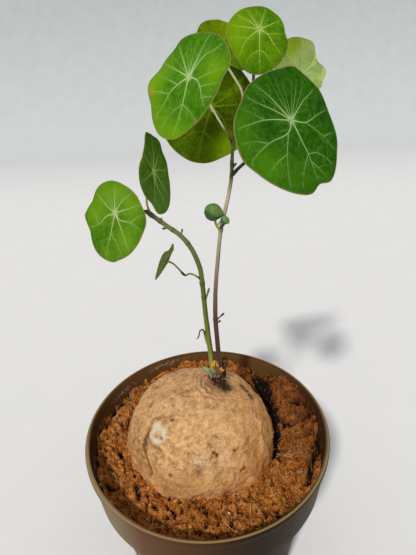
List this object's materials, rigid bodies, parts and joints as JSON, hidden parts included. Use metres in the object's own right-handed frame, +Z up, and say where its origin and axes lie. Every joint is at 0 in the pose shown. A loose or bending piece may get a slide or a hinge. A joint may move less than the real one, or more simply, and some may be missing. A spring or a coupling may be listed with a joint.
{
  "type": "potted stephania erecta",
  "caption": "Potted caudex plant: a half-buried corky tuber in a plastic nursery pot of coir, with thin stems and round shield-shaped leaves.",
  "frame": {"origin": "centre of the pot's base, on the surface that the pot stands on", "axes": "+Z up along the pot's axis; +X to the viewer's right and +Y away from the viewer in the picture"},
  "size_m": [0.12, 0.12, 0.2832],
  "materials": {
    "pot_plastic": "satin olive-brown plastic",
    "coir": "loose fibrous coir",
    "cork": "dry corky bark",
    "stem_brown": "smooth brown-green stem",
    "stem_green": "smooth green stem",
    "leaf_bright": "satin leaf with pale veins",
    "leaf_dark": "satin leaf with pale veins",
    "leaf_underside": "matte leaf, underside outwards",
    "sprout": "soft pale sprout"
  },
  "bodies": {
    "root": {"pot": "pot_plastic", "soil": "coir", "caudex": "cork", "main_stem": "stem_brown", "side_stem": "stem_green", "leaf_left": "leaf_bright", "leaf_turned": "leaf_dark", "leaf_small": "leaf_dark", "leaf_front_left": "leaf_bright", "leaf_back_left": "leaf_underside", "leaf_back_top": "leaf_underside", "leaf_top": "leaf_bright", "leaf_back_right": "leaf_underside", "leaf_front_right": "leaf_dark", "young_leaf_large": "leaf_dark", "young_leaf_small": "leaf_dark", "withered_shoot": "stem_green", "crown_sprout": "sprout"}
  },
  "joints": []
}
